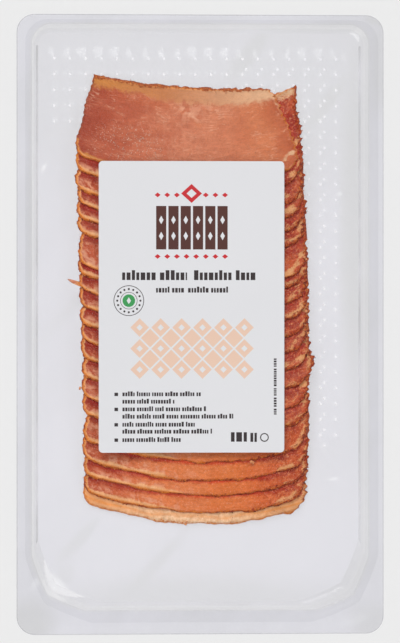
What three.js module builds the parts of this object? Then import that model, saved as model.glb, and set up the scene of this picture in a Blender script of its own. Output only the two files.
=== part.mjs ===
// A flat clear pack of sliced, dried pork: a shallow thermoformed tray with a
// sealing rim, a stack of thin shingled slices lying in it, a clear film lid
// sealed on the rim, and a paper label on the film.
//
// Millimetres, +Z up. The pack lies on its tray with the label side up; +Y is
// the label's top and +X its right. The origin is on the surface that the tray
// rests on, below the middle of the rim.
import * as THREE from "three";

// ---- Driving dimensions ----------------------------------------------------

// Pack outline and heights
const PACK_WIDTH = 130;
const PACK_LENGTH = 219;
const PACK_CORNER_R = 6.4;
const WALL = 0.5; // thickness of the tray's sheet
const RIM_TOP = 11.0; // height of the rim's sealing face
const FILM_GAP = 0.05; // between two faces that lie on each other
const FILM_THICK = 0.2;
const LABEL_THICK = 0.15;

// Cavity, measured at the rim
const CAVITY_HALF_WIDTH = 59.6;
const CAVITY_TOP = 106.1; // Y of the edge above the label
const CAVITY_BOTTOM = -101; // Y of the edge at the peel end, where the rim is wide
const CAVITY_TOP_R = 7;
const CAVITY_BOTTOM_R = 19; // how far the cut corners at the peel end reach along each side
const CORNER_CUT = 0.75; // 0 makes those corners round, 1 makes them two straight cuts each
const CORNER_SPREAD = 1.2; // how much more the wall leans in those corners than in the sides
const WALL_DRAFT = 1.0; // how far the wall leans in before the floor fillet
const FLOOR_FILLET_R = 1.5;
const CORNER_STEPS = 8; // straight pieces in each rounded corner
const FILLET_STEPS = 3;

// Label
const LABEL_WIDTH = 65.7;
const LABEL_LENGTH = 103;
const LABEL_CORNER_R = 1.4;
const LABEL_X = -3.2;
const LABEL_Y = 6.2;

// Slices: how far each one's lower edge lies below that of the one before it,
// from the topmost slice down. The upper edges follow each other evenly.
const SHINGLE_STEPS = [
  5.3, 6.6, 5.1, 4.9, 5.2, 11.3, 3.2, 5.7, 5.8, 6.0,
  5.8, 6.0, 6.5, 7.4, 5.8, 9.4, 6.6, 5.3, 6.2, 4.0,
];
const SLICE_COUNT = SHINGLE_STEPS.length + 1;
const FIRST_LOWER_EDGE = 51.0; // Y of the topmost slice's lower edge, at mid width
const FIRST_UPPER_EDGE = 84.3; // Y of its upper edge
const SLICE_THICK = 1.2;
const SLICE_LAYER = 1.5; // from one slice's underside to the next one's, with a gap
const STACK_FLOOR = 0.95; // height of the lowest underside, on the floor's small studs
const UNDERSIDE_LOWEST = 0.7; // where a slice's raised corner levels off
const SLOPE_KNEE = 2; // over how far the flat part of a slice turns into its slope
const SLICE_COLUMNS = 12;
const END_ROWS = [0, 0.9, 2.1, 3.5, 5.0]; // distances of the rows close to a lower edge from it
const ROW_GAP = 1; // the least distance from these rows to the first one further up

// Outline of a slice: a bowed lower edge, leaning ends and round lower corners
const BOW_VERTEX_X = 4.4;
const BOW_LEFT = 0.0038; // how fast the lower edge rises to each side, per mm
const BOW_RIGHT = 0.005;
const UPPER_BOW_SHARE = 0.7; // how much of that bow an upper edge has
const LEFT_END = { first: -45.6, last: -42.0, bulge: -0.1 };
const RIGHT_END = { first: 36.6, last: 38.9, bulge: 1.5 };
const END_WOBBLE = 0.5;
const CRUST_CRAG = 0.35; // relief of the spiced crust along the ends
const LEAN_LEFT = 8.6; // how far an end leans in from the lower to the upper edge
const LEAN_RIGHT = 1.9;
const FIRST_LEAN_RIGHT = 12; // the topmost slice's right end is cut aslant
const FIRST_LEAN_POWER = 1.25; // and curves a little
const FIRST_UPPER_CUT = 1.9; // its upper edge falls off by this at the right
const SECOND_UPPER_RISE = 3.6; // there the next slice's upper edge rises by this and shows
const EDGE_BEND_POWER = 5; // both bend mostly near the right end
const LEFT_CORNER = { inward: 4.2, upward: 6.0 }; // how far a lower corner's rounding reaches
const RIGHT_CORNER = { inward: 6.8, upward: 9.0 };
const EDGE_WOBBLE = 0.35;
const EDGE_WAVES = 9; // range of the wobble along a lower edge
const END_WAVES = 3; // and along an end
const RIGHT_SEED = 9; // keeps the right ends unlike the left ones
const CRAG_SEED = 4;
// A loose curl of crust at a left end, and a broad lobe at a right one
const CURL = { slice: 8, up: 2.2, out: 4.2, reach: 1.3, power: 1 };
const LOBE = { slice: 13, up: 6.5, out: 1.8, reach: 7.5, power: 2 };

// ---- Helpers ----------------------------------------------------------------

// Points of a rounded rectangle, anticlockwise from the lower right corner.
// topR and bottomR are the radii of its upper and lower corners. cut flattens
// the lower ones towards two straight cuts that meet on the same diagonal.
function roundedOutline({ left, right, bottom, top, topR, bottomR, cut = 0 }) {
  const corners = [
    [right - bottomR, bottom + bottomR, bottomR, -Math.PI / 2, cut],
    [right - topR, top - topR, topR, 0, 0],
    [left + topR, top - topR, topR, Math.PI / 2, 0],
    [left + bottomR, bottom + bottomR, bottomR, Math.PI, cut],
  ];
  const points = [];
  for (const [x, y, r, start, flat] of corners) {
    for (let i = 0; i <= CORNER_STEPS; i++) {
      const turn = ((Math.PI / 2) * i) / CORNER_STEPS;
      const fromCut = Math.abs((turn % (Math.PI / 4)) - Math.PI / 8);
      const chord = Math.cos(Math.PI / 8) / Math.cos(fromCut);
      const reach = r * THREE.MathUtils.lerp(1, chord, flat);
      const angle = start + turn;
      points.push(new THREE.Vector2(x + reach * Math.cos(angle), y + reach * Math.sin(angle)));
    }
  }
  return points;
}

function packOutline() {
  return roundedOutline({
    left: -PACK_WIDTH / 2,
    right: PACK_WIDTH / 2,
    bottom: -PACK_LENGTH / 2,
    top: PACK_LENGTH / 2,
    topR: PACK_CORNER_R,
    bottomR: PACK_CORNER_R,
  });
}

// The cavity's outline, moved in by inset all round.
function cavityOutline(inset) {
  return roundedOutline({
    left: -CAVITY_HALF_WIDTH + inset,
    right: CAVITY_HALF_WIDTH - inset,
    bottom: CAVITY_BOTTOM + inset,
    top: CAVITY_TOP - inset,
    topR: CAVITY_TOP_R - inset,
    bottomR: CAVITY_BOTTOM_R + CORNER_SPREAD * inset,
    cut: CORNER_CUT,
  });
}

// A closed body through rings of equally many points, each at its own height,
// with a fan of triangles closing the first and the last ring.
function ringBody(rings) {
  const count = rings[0].points.length;
  const positions = [];
  const index = [];
  for (const { points, z } of rings) {
    for (const p of points) positions.push(p.x, p.y, z);
  }
  for (let r = 0; r + 1 < rings.length; r++) {
    for (let i = 0; i < count; i++) {
      const a = r * count + i;
      const b = r * count + ((i + 1) % count);
      index.push(a, a + count, b, b, a + count, b + count);
    }
  }
  const closeRing = (r, flip) => {
    const centre = positions.length / 3;
    positions.push(0, (CAVITY_TOP + CAVITY_BOTTOM) / 2, rings[r].z);
    for (let i = 0; i < count; i++) {
      const a = r * count + i;
      const b = r * count + ((i + 1) % count);
      if (flip) index.push(centre, b, a);
      else index.push(centre, a, b);
    }
  };
  closeRing(0, false);
  closeRing(rings.length - 1, true);
  const geometry = new THREE.BufferGeometry();
  geometry.setAttribute("position", new THREE.Float32BufferAttribute(positions, 3));
  geometry.setIndex(index);
  geometry.computeVertexNormals();
  return geometry;
}

function plate(outline, thickness) {
  return new THREE.ExtrudeGeometry(new THREE.Shape(outline), {
    depth: thickness,
    bevelEnabled: false,
  });
}

// A slow, even-handed variation between -1 and 1: the same for the same inputs.
function wobble(seed, t) {
  return (
    0.6 * Math.sin(2.1 * t + 2.4 * seed) +
    0.4 * Math.sin(5.3 * t + 4.1 * seed + 1)
  );
}

// ---- Tray -------------------------------------------------------------------

// One face of the tray's sheet, from the floor up to the rim. offset is 0 for
// the inner face and the sheet's thickness for the outer one.
function cavityRings(offset) {
  const rings = [];
  const floorZ = WALL - offset;
  const r = FLOOR_FILLET_R + offset;
  for (let i = 0; i <= FILLET_STEPS; i++) {
    const angle = ((Math.PI / 2) * i) / FILLET_STEPS;
    rings.push({
      points: cavityOutline(WALL_DRAFT + FLOOR_FILLET_R - r * Math.sin(angle)),
      z: floorZ + r * (1 - Math.cos(angle)),
    });
  }
  rings.push({ points: cavityOutline(-offset), z: RIM_TOP - offset });
  return rings;
}

function trayGeometry() {
  const rim = packOutline();
  return ringBody([
    ...cavityRings(0),
    { points: rim, z: RIM_TOP },
    { points: rim, z: RIM_TOP - WALL },
    ...cavityRings(WALL).reverse(),
  ]);
}

// ---- Slices -----------------------------------------------------------------

const upperStep =
  SHINGLE_STEPS.reduce((sum, step) => sum + step, 0) / SHINGLE_STEPS.length;
const rampSlope = SLICE_LAYER / upperStep;
const upperEdge = (k) => FIRST_UPPER_EDGE - k * upperStep;
const lowerEdge = (k) =>
  FIRST_LOWER_EDGE - SHINGLE_STEPS.slice(0, k).reduce((sum, step) => sum + step, 0);
const LAST = SLICE_COUNT - 1;

function bow(x) {
  const d = x - BOW_VERTEX_X;
  return (d < 0 ? BOW_LEFT : BOW_RIGHT) * d * d;
}

// Height of slice k's underside. The slices lie flat where the stack begins and
// slope down to the floor from the last slice's upper edge on, all alike.
function undersideZ(k, x, y) {
  const beyond = y - bow(x) - upperEdge(LAST);
  const fall = rampSlope * 0.5 * (beyond + Math.hypot(beyond, SLOPE_KNEE));
  return Math.max(UNDERSIDE_LOWEST, STACK_FLOOR + SLICE_LAYER * (LAST - k) - fall);
}

// How far out an end lies on slice k, before its own lean and relief.
function endLine({ first, last, bulge }, k) {
  const along = k / LAST;
  return THREE.MathUtils.lerp(first, last, along) + bulge * Math.sin(Math.PI * along);
}

// Relief of the crust along an end.
const crag = (seed, up) =>
  CRUST_CRAG * (Math.sin(2.4 * up + 2.9 * seed) + 0.6 * Math.sin(3.9 * up + 1.7 * seed));

// How far a loose part stands out of slice k's end.
const standOut = (loose, k, up) =>
  k === loose.slice
    ? loose.out * Math.max(0, 1 - (Math.abs(up - loose.up) / loose.reach) ** loose.power)
    : 0;

// How far the rounding of a lower corner moves an end in.
function roundedBy({ inward, upward }, up) {
  const corner = Math.max(0, 1 - up / upward);
  return inward * (1 - Math.sqrt(1 - corner * corner));
}

// The slice's left and right ends at a distance up from its lower edge.
function endsAt(k, up, length) {
  const share = up / length;
  const leanLeft = LEAN_LEFT * share;
  const leanRight = k === 0 ? FIRST_LEAN_RIGHT * share ** FIRST_LEAN_POWER : LEAN_RIGHT * share;
  const waves = END_WAVES * share;
  const left = endLine(LEFT_END, k) + END_WOBBLE * wobble(k, waves) + crag(k, up);
  const right =
    endLine(RIGHT_END, k) +
    END_WOBBLE * wobble(k + RIGHT_SEED, waves) +
    crag(k + CRAG_SEED, up);
  return [
    left + leanLeft + roundedBy(LEFT_CORNER, up) - standOut(CURL, k, up),
    right - leanRight - roundedBy(RIGHT_CORNER, up) + standOut(LOBE, k, up),
  ];
}

// How far the upper edge rises or falls off towards the right.
function upperBend(k, s) {
  const amount = k === 0 ? -FIRST_UPPER_CUT : k === 1 ? SECOND_UPPER_RISE : 0;
  return amount * s ** EDGE_BEND_POWER;
}

// A grid of points over the slice: rows across it from its lower to its upper
// edge, columns from left to right.
function slicePlan(k) {
  const lower = lowerEdge(k);
  const upper = upperEdge(k);
  const rows = END_ROWS.map((up) => lower + up);
  for (let j = LAST; j >= k; j--) {
    if (upperEdge(j) > rows[END_ROWS.length - 1] + ROW_GAP) rows.push(upperEdge(j));
  }
  return rows.map((rowY, r) => {
    const [left, right] = endsAt(k, rowY - lower, upper - lower);
    return Array.from({ length: SLICE_COLUMNS + 1 }, (_, i) => {
      const s = i / SLICE_COLUMNS;
      const x = left + (right - left) * s;
      const share = (rowY - lower) / (upper - lower);
      let y = rowY + bow(x) * THREE.MathUtils.lerp(1, UPPER_BOW_SHARE, share);
      if (r === 0) y += EDGE_WOBBLE * wobble(k, EDGE_WAVES * s);
      if (r === rows.length - 1) y += upperBend(k, s);
      return [x, y];
    });
  });
}

function sliceGeometry(k) {
  const plan = slicePlan(k);
  const across = SLICE_COLUMNS + 1;
  const positions = [];
  for (const lift of [0, SLICE_THICK]) {
    for (const row of plan) {
      for (const [x, y] of row) positions.push(x, y, undersideZ(k, x, y) + lift);
    }
  }
  const layer = plan.length * across;
  const index = [];
  const quad = (a, b, c, d) => index.push(a, b, c, a, c, d);
  for (let r = 0; r + 1 < plan.length; r++) {
    for (let i = 0; i < SLICE_COLUMNS; i++) {
      const a = r * across + i;
      quad(a, a + across, a + across + 1, a + 1);
      quad(a + layer, a + layer + 1, a + layer + across + 1, a + layer + across);
    }
  }
  const rim = [];
  for (let i = 0; i < across; i++) rim.push(i);
  for (let r = 1; r < plan.length; r++) rim.push(r * across + SLICE_COLUMNS);
  for (let i = SLICE_COLUMNS - 1; i >= 0; i--) rim.push((plan.length - 1) * across + i);
  for (let r = plan.length - 2; r > 0; r--) rim.push(r * across);
  rim.forEach((a, n) => {
    const b = rim[(n + 1) % rim.length];
    quad(a, b, b + layer, a + layer);
  });
  const geometry = new THREE.BufferGeometry();
  geometry.setAttribute("position", new THREE.Float32BufferAttribute(positions, 3));
  geometry.setIndex(index);
  geometry.computeVertexNormals();
  return geometry;
}

// ---- The pack ---------------------------------------------------------------

const clearPlastic = new THREE.MeshStandardMaterial({
  color: 0xd9d8e0,
  roughness: 0.15,
  transparent: true,
  opacity: 0.3,
});
const labelPaper = new THREE.MeshStandardMaterial({ color: 0xe6e6e8, roughness: 0.5 });
const driedPork = new THREE.MeshStandardMaterial({ color: 0xb4553c, roughness: 0.45 });

const pack = new THREE.Group();

function addPiece(name, geometry, material, z = 0) {
  const mesh = new THREE.Mesh(geometry, material);
  mesh.name = name;
  mesh.position.z = z;
  pack.add(mesh);
  return mesh;
}

addPiece("tray", trayGeometry(), clearPlastic);

for (let k = 0; k < SLICE_COUNT; k++) {
  const name = "slice_" + String(k + 1).padStart(2, "0");
  addPiece(name, sliceGeometry(k), driedPork);
}

const filmZ = RIM_TOP + FILM_GAP;
addPiece("film", plate(packOutline(), FILM_THICK), clearPlastic, filmZ);

const labelOutline = roundedOutline({
  left: LABEL_X - LABEL_WIDTH / 2,
  right: LABEL_X + LABEL_WIDTH / 2,
  bottom: LABEL_Y - LABEL_LENGTH / 2,
  top: LABEL_Y + LABEL_LENGTH / 2,
  topR: LABEL_CORNER_R,
  bottomR: LABEL_CORNER_R,
});
addPiece(
  "label",
  plate(labelOutline, LABEL_THICK),
  labelPaper,
  filmZ + FILM_THICK + FILM_GAP,
);

export default pack;
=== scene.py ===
"""Looks of a flat clear pack of sliced dried pork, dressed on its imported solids.

Lengths are in millimetres in every function here. They become metres where a mesh, a lamp or the
camera is made. Finer shapes of the same form replace the solids, so the measures that give the
solids their form are repeated here, under Measures.
"""

import itertools
import math

import bmesh
import bpy
import numpy as np
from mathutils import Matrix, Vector
from mathutils.geometry import delaunay_2d_cdt


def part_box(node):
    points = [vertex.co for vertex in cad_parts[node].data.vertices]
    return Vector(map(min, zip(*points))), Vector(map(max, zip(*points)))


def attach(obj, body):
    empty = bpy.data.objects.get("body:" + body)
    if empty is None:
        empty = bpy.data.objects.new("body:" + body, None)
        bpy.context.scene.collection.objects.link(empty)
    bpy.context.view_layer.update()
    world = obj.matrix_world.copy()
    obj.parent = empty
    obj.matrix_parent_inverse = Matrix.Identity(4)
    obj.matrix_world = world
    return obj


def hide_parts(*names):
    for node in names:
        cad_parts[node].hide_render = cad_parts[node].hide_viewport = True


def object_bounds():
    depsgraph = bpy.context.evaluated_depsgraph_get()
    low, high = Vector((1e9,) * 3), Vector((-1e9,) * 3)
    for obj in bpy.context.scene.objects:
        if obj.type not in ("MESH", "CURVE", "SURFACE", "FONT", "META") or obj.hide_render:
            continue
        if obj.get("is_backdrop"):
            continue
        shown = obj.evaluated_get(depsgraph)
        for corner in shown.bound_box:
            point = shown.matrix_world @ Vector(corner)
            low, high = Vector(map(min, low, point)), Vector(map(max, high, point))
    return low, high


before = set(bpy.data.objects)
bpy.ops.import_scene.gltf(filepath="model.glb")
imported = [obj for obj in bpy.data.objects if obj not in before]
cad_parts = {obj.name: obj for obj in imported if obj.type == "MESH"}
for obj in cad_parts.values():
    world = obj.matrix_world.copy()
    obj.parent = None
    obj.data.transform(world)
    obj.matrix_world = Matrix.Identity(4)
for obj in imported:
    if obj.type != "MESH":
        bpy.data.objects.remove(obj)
cad_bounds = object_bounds()
MM = 0.001


def box_mm(node):
    low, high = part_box(node)
    return np.array(low) / MM, np.array(high) / MM


# ---- Measures ----

FILM_LOW, FILM_HIGH = box_mm("film")
LABEL_LOW, LABEL_HIGH = box_mm("label")
HALF_WIDTH = FILM_HIGH[0]
HALF_LENGTH = FILM_HIGH[1]
FILM_BOTTOM = FILM_LOW[2]
FILM_TOP = FILM_HIGH[2]

# The tray
PACK_CORNER_R = 6.4
WALL = 0.5
RIM_TOP = box_mm("tray")[1][2]
CAVITY_HALF_WIDTH = 59.6
CAVITY_TOP = 106.1
CAVITY_BOTTOM = -101.0
CAVITY_TOP_R = 7.0
CAVITY_BOTTOM_R = 19.0
CORNER_CUT = 0.75
CORNER_SPREAD = 1.2
WALL_DRAFT = 1.0
FLOOR_FILLET_R = 1.5

# The slices
SHINGLE_STEPS = [
    5.3, 6.6, 5.1, 4.9, 5.2, 11.3, 3.2, 5.7, 5.8, 6.0,
    5.8, 6.0, 6.5, 7.4, 5.8, 9.4, 6.6, 5.3, 6.2, 4.0,
]
SLICE_COUNT = len(SHINGLE_STEPS) + 1
LAST = SLICE_COUNT - 1
FIRST_LOWER_EDGE = 51.0
FIRST_UPPER_EDGE = 84.3
SLICE_THICK = 1.2
SLICE_LAYER = 1.5
STACK_FLOOR = 0.95
UNDERSIDE_LOWEST = 0.7
SLOPE_KNEE = 2.0
BOW_VERTEX_X = 4.4
BOW_LEFT = 0.0038
BOW_RIGHT = 0.005
UPPER_BOW_SHARE = 0.7
LEFT_END = {"first": -45.6, "last": -42.0, "bulge": -0.1}
RIGHT_END = {"first": 36.6, "last": 38.9, "bulge": 1.5}
END_WOBBLE = 0.5
CRUST_CRAG = 0.35
LEFT_CRAG_SHARE = 0.4
LEAN_LEFT = 8.6
LEAN_RIGHT = 1.9
FIRST_LEAN_RIGHT = 12.0
FIRST_LEAN_POWER = 1.25
FIRST_UPPER_CUT = 1.9
SECOND_UPPER_RISE = 3.6
EDGE_BEND_POWER = 5
LEFT_CORNER = {"inward": 4.2, "upward": 6.0}
RIGHT_CORNER = {"inward": 6.8, "upward": 9.0}
EDGE_WOBBLE = 0.35
EDGE_WAVES = 9
END_WAVES = 3
RIGHT_SEED = 9
CRAG_SEED = 4
CURL = {"slice": 8, "up": 2.2, "out": 4.2, "reach": 0.95, "power": 4}
LOBE = {"slice": 13, "up": 6.5, "out": 1.8, "reach": 7.5, "power": 2}
UPPER_STEP = sum(SHINGLE_STEPS) / len(SHINGLE_STEPS)
RAMP_SLOPE = SLICE_LAYER / UPPER_STEP

# The photograph: its height in pixels, its scale at the film, the pixels at the origin and at the
# middle of the view, and the view's tilt and distance
PHOTO_HEIGHT = 643
MM_PER_PIXEL = 0.3534
ORIGIN_PIXEL = (200.65, 324.4)
VIEW_PIXEL = (200.0, 321.5)
VIEW_TILT = math.radians(4)
VIEW_DISTANCE = 1770.0


def from_pixel(px, py):
    """Where a pixel of the photograph lies on the film, in x and y."""
    return (px - ORIGIN_PIXEL[0]) * MM_PER_PIXEL, (ORIGIN_PIXEL[1] - py) * MM_PER_PIXEL


# ---- Numbers and meshes ----


def lerp(a, b, t):
    return a + (b - a) * t


def smooth(value, low, high):
    """0 up to low, 1 from high on, and a soft step between them."""
    t = np.clip((value - low) / (high - low), 0, 1)
    return t * t * (3 - 2 * t)


def noise(x, y, size, seed, octaves=2):
    """Soft noise around 0, mostly between -1 and 1, with blotches as wide as size. Each use has a
    seed of its own, so that no two patterns agree."""
    total, weight = 0.0, 1.0
    for octave in range(octaves):
        cells = np.random.default_rng(1000 * seed + octave).uniform(-1, 1, (97, 97))
        u, v = x * 2**octave / size, y * 2**octave / size
        i, j = np.floor(u).astype(int), np.floor(v).astype(int)
        fu, fv = smooth(u - i, 0, 1), smooth(v - j, 0, 1)
        low = lerp(cells[i % 97, j % 97], cells[(i + 1) % 97, j % 97], fu)
        high = lerp(cells[i % 97, (j + 1) % 97], cells[(i + 1) % 97, (j + 1) % 97], fu)
        total = total + weight * lerp(low, high, fv)
        weight *= 0.5
    return total


def new_object(name, data):
    made = bpy.data.objects.new(name, data)
    bpy.context.scene.collection.objects.link(made)
    return made


def mesh_object(name, points, faces, materials, slots=None, fields=None):
    """A smooth mesh from points in millimetres. slots gives each face its material, and fields
    holds numbers for each point, which the materials read by name."""
    mesh = bpy.data.meshes.new(name)
    mesh.from_pydata((np.asarray(points, float) * MM).tolist(), [], faces)
    for material in materials:
        mesh.materials.append(material)
    if slots is not None:
        mesh.polygons.foreach_set("material_index", slots)
    mesh.shade_smooth()
    for field, values in (fields or {}).items():
        layer = mesh.attributes.new(field, "FLOAT", "POINT")
        layer.data.foreach_set("value", np.ravel(values).astype(np.float32))
    mesh.update()
    return new_object(name, mesh)


def at_height(flat, z):
    """Points of a plane, given in x and y, at one height or at a height each."""
    return np.column_stack([flat, np.broadcast_to(z, len(flat))])


def as_points(x, y, z):
    """A list of points from three arrays of rows and columns."""
    return np.column_stack([x.ravel(), y.ravel(), z.ravel()])


def grid_faces(rows, columns, first=0, flip=False):
    """The quads of a grid of points, counted row by row."""
    faces = []
    for r in range(rows - 1):
        for c in range(columns - 1):
            a = first + r * columns + c
            quad = (a, a + 1, a + columns + 1, a + columns)
            faces.append(quad[::-1] if flip else quad)
    return faces


def rounded_outline(box, top_r, bottom_r, cut=0.0, steps=16, along=(1, 1)):
    """Points of a rounded rectangle (left, right, bottom, top), anticlockwise. cut flattens the
    lower corners towards two straight cuts, and along is how many pieces the short and the long
    sides have."""
    left, right, bottom, top = box
    corners = [
        (right - bottom_r, bottom + bottom_r, bottom_r, -90, cut),
        (right - top_r, top - top_r, top_r, 0, 0),
        (left + top_r, top - top_r, top_r, 90, 0),
        (left + bottom_r, bottom + bottom_r, bottom_r, 180, cut),
    ]
    points = []
    for n, (x, y, r, start, flat) in enumerate(corners):
        for i in range(steps + 1):
            turn = math.radians(90 * i / steps)
            from_cut = abs(turn % math.radians(45) - math.radians(22.5))
            chord = math.cos(math.radians(22.5)) / math.cos(from_cut)
            reach = r * lerp(1, chord, flat)
            angle = math.radians(start) + turn
            points.append((x + reach * math.cos(angle), y + reach * math.sin(angle)))
        next_x, next_y, next_r, next_start, _ = corners[(n + 1) % 4]
        angle = math.radians(next_start)
        goal = (next_x + next_r * math.cos(angle), next_y + next_r * math.sin(angle))
        pieces = along[1 - n % 2]
        last = points[-1]
        for i in range(1, pieces):
            points.append((lerp(last[0], goal[0], i / pieces), lerp(last[1], goal[1], i / pieces)))
    return np.array(points)


def ring_faces(count, rings):
    """The quads between rings of count points each, with the number of the lower ring."""
    faces, bands = [], []
    for r in range(rings - 1):
        for i in range(count):
            j = (i + 1) % count
            faces.append((r * count + i, (r + 1) * count + i, (r + 1) * count + j, r * count + j))
            bands.append(r)
    return faces, bands


def inlaid(outline, shapes):
    """Triangles that fill an outline with flat shapes laid into it. Returns points, faces and, for
    each face, the number of the shape that it belongs to, from 1 on, or 0 for the ground."""
    loops = [np.asarray(outline)] + [np.asarray(s) for s in shapes]
    points, edges, areas = [], [], []
    for loop in loops:
        first = len(points)
        points += [Vector(p) for p in loop.tolist()]
        ring = list(range(first, first + len(loop)))
        edges += list(zip(ring, ring[1:] + ring[:1]))
        areas.append(ring)
    verts, _, faces, _, _, owners = delaunay_2d_cdt(points, edges, areas, 1, 1e-5)
    kept = [(list(f), max(o)) for f, o in zip(faces, owners) if o]
    return np.array([tuple(v) for v in verts]), [f for f, _ in kept], [o for _, o in kept]


# ---- Materials ----


VEIL_STRETCH = (0.3, 1.0, 1.0)
VEIL_SIZE = 26
PAINTED_SHADE_FROM_TO = (10, 64)
PORK_SPECULAR = 0.12
PORK_RELIEF = 0.22
MATT_SPECULAR = 0.3
PAPER_ROUGHNESS = (0.44, 0.56)
GRAIN_ROUGHNESS = 0.55
CRUMB_ROUGHNESS = 0.5


def srgb(r, g, b):
    """A colour as read from a picture, from 0 to 255, as the linear colour that shaders take."""
    parts = [c / 255 for c in (r, g, b)]
    return tuple(c / 12.92 if c <= 0.04045 else ((c + 0.055) / 1.055) ** 2.4 for c in parts) + (1,)


class Signal:
    """A value that a material works out for each point, used like a number."""

    def __init__(self, shade, socket):
        self.shade = shade
        self.socket = socket

    def __add__(self, other):
        return self.shade.math("ADD", self, other)

    def __sub__(self, other):
        return self.shade.math("SUBTRACT", self, other)

    def __rsub__(self, other):
        return self.shade.math("SUBTRACT", other, self)

    def __mul__(self, other):
        return self.shade.math("MULTIPLY", self, other)

    __radd__ = __add__
    __rmul__ = __mul__


class Shade:
    """A material of one Principled shader, and the nodes that feed it."""

    def __init__(self, name, **constants):
        self.material = bpy.data.materials.new(name)
        self.material.use_nodes = True
        self.tree = self.material.node_tree
        self.tree.nodes.clear()
        output = self.tree.nodes.new("ShaderNodeOutputMaterial")
        self.surface = self.tree.nodes.new("ShaderNodeBsdfPrincipled")
        self.tree.links.new(self.surface.outputs[0], output.inputs["Surface"])
        for socket, value in constants.items():
            self.set(socket.replace("_", " "), value)
        metres = self.signal("ShaderNodeTexCoord", output="Object")
        self.place = self.scaled(metres, 1 / MM)

    def set(self, socket, value):
        self.feed(value, self.surface.inputs[socket])

    def feed(self, value, socket):
        if isinstance(value, Signal):
            self.tree.links.new(value.socket, socket)
        else:
            socket.default_value = value

    def node(self, kind, *values, **settings):
        node = self.tree.nodes.new(kind)
        for setting, value in settings.items():
            setattr(node, setting, value)
        for socket, value in zip(node.inputs, values):
            if value is not None:
                self.feed(value, socket)
        return node

    def signal(self, kind, *values, output=0, **settings):
        return Signal(self, self.node(kind, *values, **settings).outputs[output])

    def math(self, operation, *values):
        return self.signal("ShaderNodeMath", *values, operation=operation)

    def field(self, name):
        return self.signal("ShaderNodeAttribute", output="Fac", attribute_name=name)

    def part(self, vector, axis):
        return self.signal("ShaderNodeSeparateXYZ", vector, output=axis)

    def noise(self, size, detail=2.0, roughness=0.5, distortion=0.0, vector=None):
        """Noise from 0 to 1 with blotches about as wide as size."""
        node = self.node("ShaderNodeTexNoise", vector or self.place)
        sockets = ("Scale", "Detail", "Roughness", "Distortion")
        for socket, value in zip(sockets, (1 / size, detail, roughness, distortion)):
            node.inputs[socket].default_value = value
        return Signal(self, node.outputs["Fac"])

    def specks(self, size, share, vector=None):
        """Round specks on a loose lattice: 1 inside a speck, whose radius is share of a cell."""
        node = self.node("ShaderNodeTexVoronoi", vector or self.place)
        node.inputs["Scale"].default_value = 1 / size
        return 1 - self.step(Signal(self, node.outputs["Distance"]), share * 0.6, share)

    def step(self, value, low, high, to_low=0.0, to_high=1.0):
        node = self.node("ShaderNodeMapRange", value, low, high, to_low, to_high)
        node.interpolation_type = "SMOOTHSTEP"
        return Signal(self, node.outputs[0])

    def mix(self, factor, a, b):
        node = self.node("ShaderNodeMix", data_type="RGBA")
        self.feed(factor, node.inputs[0])
        self.feed(a, node.inputs[6])
        self.feed(b, node.inputs[7])
        return Signal(self, node.outputs[2])

    def scaled(self, vector, factor):
        node = self.node("ShaderNodeVectorMath", vector, operation="SCALE")
        self.feed(factor, node.inputs["Scale"])
        return Signal(self, node.outputs[0])

    def times(self, vector, factors):
        return self.signal("ShaderNodeVectorMath", vector, factors, operation="MULTIPLY")

    def ramp(self, factor, stops):
        """A run of colours, from stops of a position and the colour there, from 0 to 255."""
        node = self.node("ShaderNodeValToRGB", factor)
        elements = node.color_ramp.elements
        while len(elements) < len(stops):
            elements.new(0.5)
        for element, (position, *colour) in zip(elements, stops):
            element.position = position
            element.color = srgb(*colour)
        return Signal(self, node.outputs["Color"])

    def bump(self, height, depth):
        """Relief that is depth millimetres high where height is 1."""
        node = self.node("ShaderNodeBump")
        node.inputs["Strength"].default_value = 1.0
        node.inputs["Distance"].default_value = depth * MM
        self.feed(height, node.inputs["Height"])
        self.tree.links.new(node.outputs[0], self.surface.inputs["Normal"])


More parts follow.
